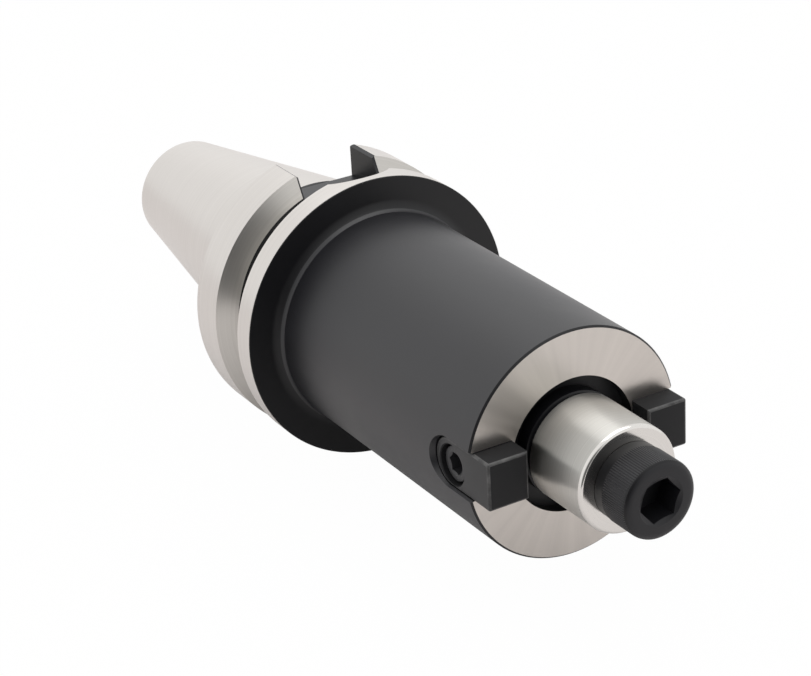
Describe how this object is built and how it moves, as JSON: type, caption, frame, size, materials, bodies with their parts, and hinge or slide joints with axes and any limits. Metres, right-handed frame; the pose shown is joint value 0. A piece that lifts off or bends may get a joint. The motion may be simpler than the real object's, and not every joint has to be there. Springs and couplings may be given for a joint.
{
  "type": "shell mill arbor",
  "caption": "Size 40 steep-taper arbor with a gripper flange, two drive slots and a plain nose: a pilot, two screwed drive keys and a lock screw carry and drive a shell mill.",
  "frame": {"origin": "centre of the taper's gauge line, on the arbor's axis", "axes": "+X along the axis towards the nose, +Z through the middle of one drive slot, drive keys on +Y and -Y"},
  "size_m": [0.1934, 0.063, 0.063],
  "materials": {
    "arbor_steel": "hardened steel, ground bright on the taper, flange rim, seat and pilot, and satin black oxide on the rest",
    "black_oxide_key": "matte black oxide, lighter on its worn edges",
    "black_oxide_screw": "black oxide, slightly oily"
  },
  "bodies": {
    "arbor": {"arbor_body": "arbor_steel", "drive_key_left": "black_oxide_key", "drive_key_right": "black_oxide_key"},
    "lock_screw": {"lock_screw": "black_oxide_screw"},
    "key_screw_left": {"key_screw_left": "black_oxide_screw"},
    "key_screw_right": {"key_screw_right": "black_oxide_screw"}
  },
  "joints": [
    {"name": "lock_screw_travel", "type": "slide", "parent": "arbor", "child": "lock_screw", "axis": [1, 0, 0], "range_m": [0, 0.032]},
    {"name": "key_screw_left_travel", "type": "slide", "parent": "arbor", "child": "key_screw_left", "axis": [0, -1, 0], "range_m": [0, 0.014]},
    {"name": "key_screw_right_travel", "type": "slide", "parent": "arbor", "child": "key_screw_right", "axis": [0, 1, 0], "range_m": [0, 0.014]}
  ]
}
